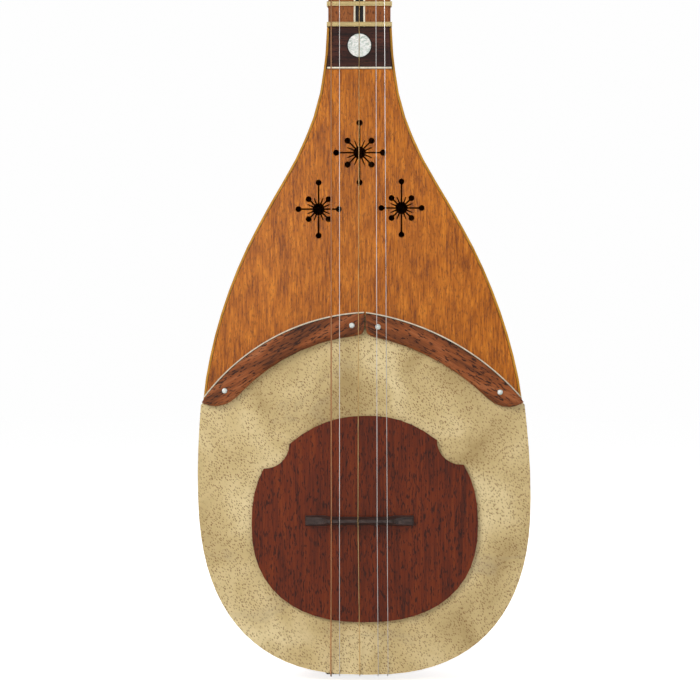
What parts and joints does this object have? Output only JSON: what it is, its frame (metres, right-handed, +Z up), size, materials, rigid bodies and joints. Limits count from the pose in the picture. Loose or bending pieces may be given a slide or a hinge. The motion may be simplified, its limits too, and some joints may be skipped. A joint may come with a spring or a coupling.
{
  "type": "plucked lute",
  "caption": "Long-necked plucked lute with a pear-shaped bowl, a wooden upper face with star rosettes, a skin lower face, movable tied frets and side pegs.",
  "frame": {"origin": "on the face of the fingerboard at the playing edge of the nut, midway between the neck's sides", "axes": "+Z up the neck towards the pegs, -Y out of the face, +X to the treble side"},
  "size_m": [0.2031, 0.1601, 0.9281],
  "materials": {
    "mulberry": "oiled mulberry staves",
    "lining_wood": "bare wood inside the bowl",
    "soundboard_wood": "orange-brown varnished wood",
    "edge_wood": "yellow edge strip, varnished",
    "panel_rosewood": "dark rosewood",
    "arch_rosewood": "rosewood with open pores",
    "plate_wood": "reddish-brown varnished wood",
    "bridge_wood": "dark hardwood",
    "neck_wood": "dark varnished wood",
    "fingerboard_wood": "brown varnished wood",
    "ebony": "black wood",
    "peg_wood": "dark turned wood",
    "skin": "cream goatskin with brown hair roots",
    "pearl": null,
    "bone": null,
    "gut": null,
    "steel": "plain steel wire",
    "brass": "plain brass wire",
    "wound_bronze": "copper alloy winding"
  },
  "bodies": {
    "lute": {"rib_1": "mulberry", "rib_2": "mulberry", "rib_3": "mulberry", "rib_4": "mulberry", "rib_5": "mulberry", "rib_6": "mulberry", "rib_7": "mulberry", "heel_block": "lining_wood", "tail_block": "lining_wood", "skin_rim": "lining_wood", "arch_brace": "lining_wood", "soundboard": "soundboard_wood", "edge_strip_bass": "edge_wood", "edge_strip_treble": "edge_wood", "heel_panel": "panel_rosewood", "pearl_dot": "pearl", "arch_pin_bass_joint": "pearl", "arch_pin_bass_foot": "pearl", "arch_pin_treble_joint": "pearl", "arch_pin_treble_foot": "pearl", "skin": "skin", "arch_bass": "arch_rosewood", "arch_treble": "arch_rosewood", "bridge_plate": "plate_wood", "bridge": "bridge_wood", "nut": "bone", "tailpiece": "bone", "neck": "neck_wood", "pegbox": "neck_wood", "fingerboard_bass": "fingerboard_wood", "fingerboard_treble": "fingerboard_wood", "fingerboard_centre": "ebony", "string_bass": "wound_bronze", "string_third": "brass", "string_second": "steel", "string_fourth": "steel", "string_treble": "steel"},
    "peg_1": {"peg_1": "peg_wood"},
    "peg_2": {"peg_2": "peg_wood"},
    "peg_3": {"peg_3": "peg_wood"},
    "peg_4": {"peg_4": "peg_wood"},
    "peg_5": {"peg_5": "peg_wood"},
    "fret_01": {"fret_01": "gut"},
    "fret_02": {"fret_02": "gut"},
    "fret_03": {"fret_03": "gut"},
    "fret_04": {"fret_04": "gut"},
    "fret_05": {"fret_05": "gut"},
    "fret_06": {"fret_06": "gut"},
    "fret_07": {"fret_07": "gut"},
    "fret_08": {"fret_08": "gut"},
    "fret_09": {"fret_09": "gut"},
    "fret_10": {"fret_10": "gut"},
    "fret_11": {"fret_11": "gut"},
    "fret_12": {"fret_12": "gut"},
    "fret_13": {"fret_13": "gut"},
    "fret_14": {"fret_14": "gut"},
    "fret_15": {"fret_15": "gut"},
    "fret_16": {"fret_16": "gut"},
    "fret_17": {"fret_17": "gut"},
    "fret_18": {"fret_18": "gut"}
  },
  "joints": [
    {"name": "peg_1_turn", "type": "hinge", "parent": "lute", "child": "peg_1", "pos_m": [0, 0.0143, 0.0343], "axis": [1, 0, 0], "continuous": true},
    {"name": "peg_2_turn", "type": "hinge", "parent": "lute", "child": "peg_2", "pos_m": [0, 0.0143, 0.0553], "axis": [1, 0, 0], "continuous": true},
    {"name": "peg_3_turn", "type": "hinge", "parent": "lute", "child": "peg_3", "pos_m": [0, 0.0143, 0.0763], "axis": [1, 0, 0], "continuous": true},
    {"name": "peg_4_turn", "type": "hinge", "parent": "lute", "child": "peg_4", "pos_m": [0, 0.0143, 0.0973], "axis": [1, 0, 0], "continuous": true},
    {"name": "peg_5_turn", "type": "hinge", "parent": "lute", "child": "peg_5", "pos_m": [0, 0.0143, 0.1183], "axis": [1, 0, 0], "continuous": true},
    {"name": "fret_01_slide", "type": "slide", "parent": "lute", "child": "fret_01", "axis": [0, 0, 1], "range_m": [-0.003, 0.003]},
    {"name": "fret_02_slide", "type": "slide", "parent": "lute", "child": "fret_02", "axis": [0, 0, 1], "range_m": [-0.003, 0.003]},
    {"name": "fret_03_slide", "type": "slide", "parent": "lute", "child": "fret_03", "axis": [0, 0, 1], "range_m": [-0.003, 0.003]},
    {"name": "fret_04_slide", "type": "slide", "parent": "lute", "child": "fret_04", "axis": [0, 0, 1], "range_m": [-0.003, 0.003]},
    {"name": "fret_05_slide", "type": "slide", "parent": "lute", "child": "fret_05", "axis": [0, 0, 1], "range_m": [-0.003, 0.003]},
    {"name": "fret_06_slide", "type": "slide", "parent": "lute", "child": "fret_06", "axis": [0, 0, 1], "range_m": [-0.003, 0.003]},
    {"name": "fret_07_slide", "type": "slide", "parent": "lute", "child": "fret_07", "axis": [0, 0, 1], "range_m": [-0.003, 0.003]},
    {"name": "fret_08_slide", "type": "slide", "parent": "lute", "child": "fret_08", "axis": [0, 0, 1], "range_m": [-0.003, 0.003]},
    {"name": "fret_09_slide", "type": "slide", "parent": "lute", "child": "fret_09", "axis": [0, 0, 1], "range_m": [-0.003, 0.003]},
    {"name": "fret_10_slide", "type": "slide", "parent": "lute", "child": "fret_10", "axis": [0, 0, 1], "range_m": [-0.003, 0.003]},
    {"name": "fret_11_slide", "type": "slide", "parent": "lute", "child": "fret_11", "axis": [0, 0, 1], "range_m": [-0.003, 0.003]},
    {"name": "fret_12_slide", "type": "slide", "parent": "lute", "child": "fret_12", "axis": [0, 0, 1], "range_m": [-0.003, 0.003]},
    {"name": "fret_13_slide", "type": "slide", "parent": "lute", "child": "fret_13", "axis": [0, 0, 1], "range_m": [-0.003, 0.003]},
    {"name": "fret_14_slide", "type": "slide", "parent": "lute", "child": "fret_14", "axis": [0, 0, 1], "range_m": [-0.003, 0.003]},
    {"name": "fret_15_slide", "type": "slide", "parent": "lute", "child": "fret_15", "axis": [0, 0, 1], "range_m": [-0.003, 0.003]},
    {"name": "fret_16_slide", "type": "slide", "parent": "lute", "child": "fret_16", "axis": [0, 0, 1], "range_m": [-0.003, 0.003]},
    {"name": "fret_17_slide", "type": "slide", "parent": "lute", "child": "fret_17", "axis": [0, 0, 1], "range_m": [-0.003, 0.003]},
    {"name": "fret_18_slide", "type": "slide", "parent": "lute", "child": "fret_18", "axis": [0, 0, 1], "range_m": [0, 0.006]}
  ]
}
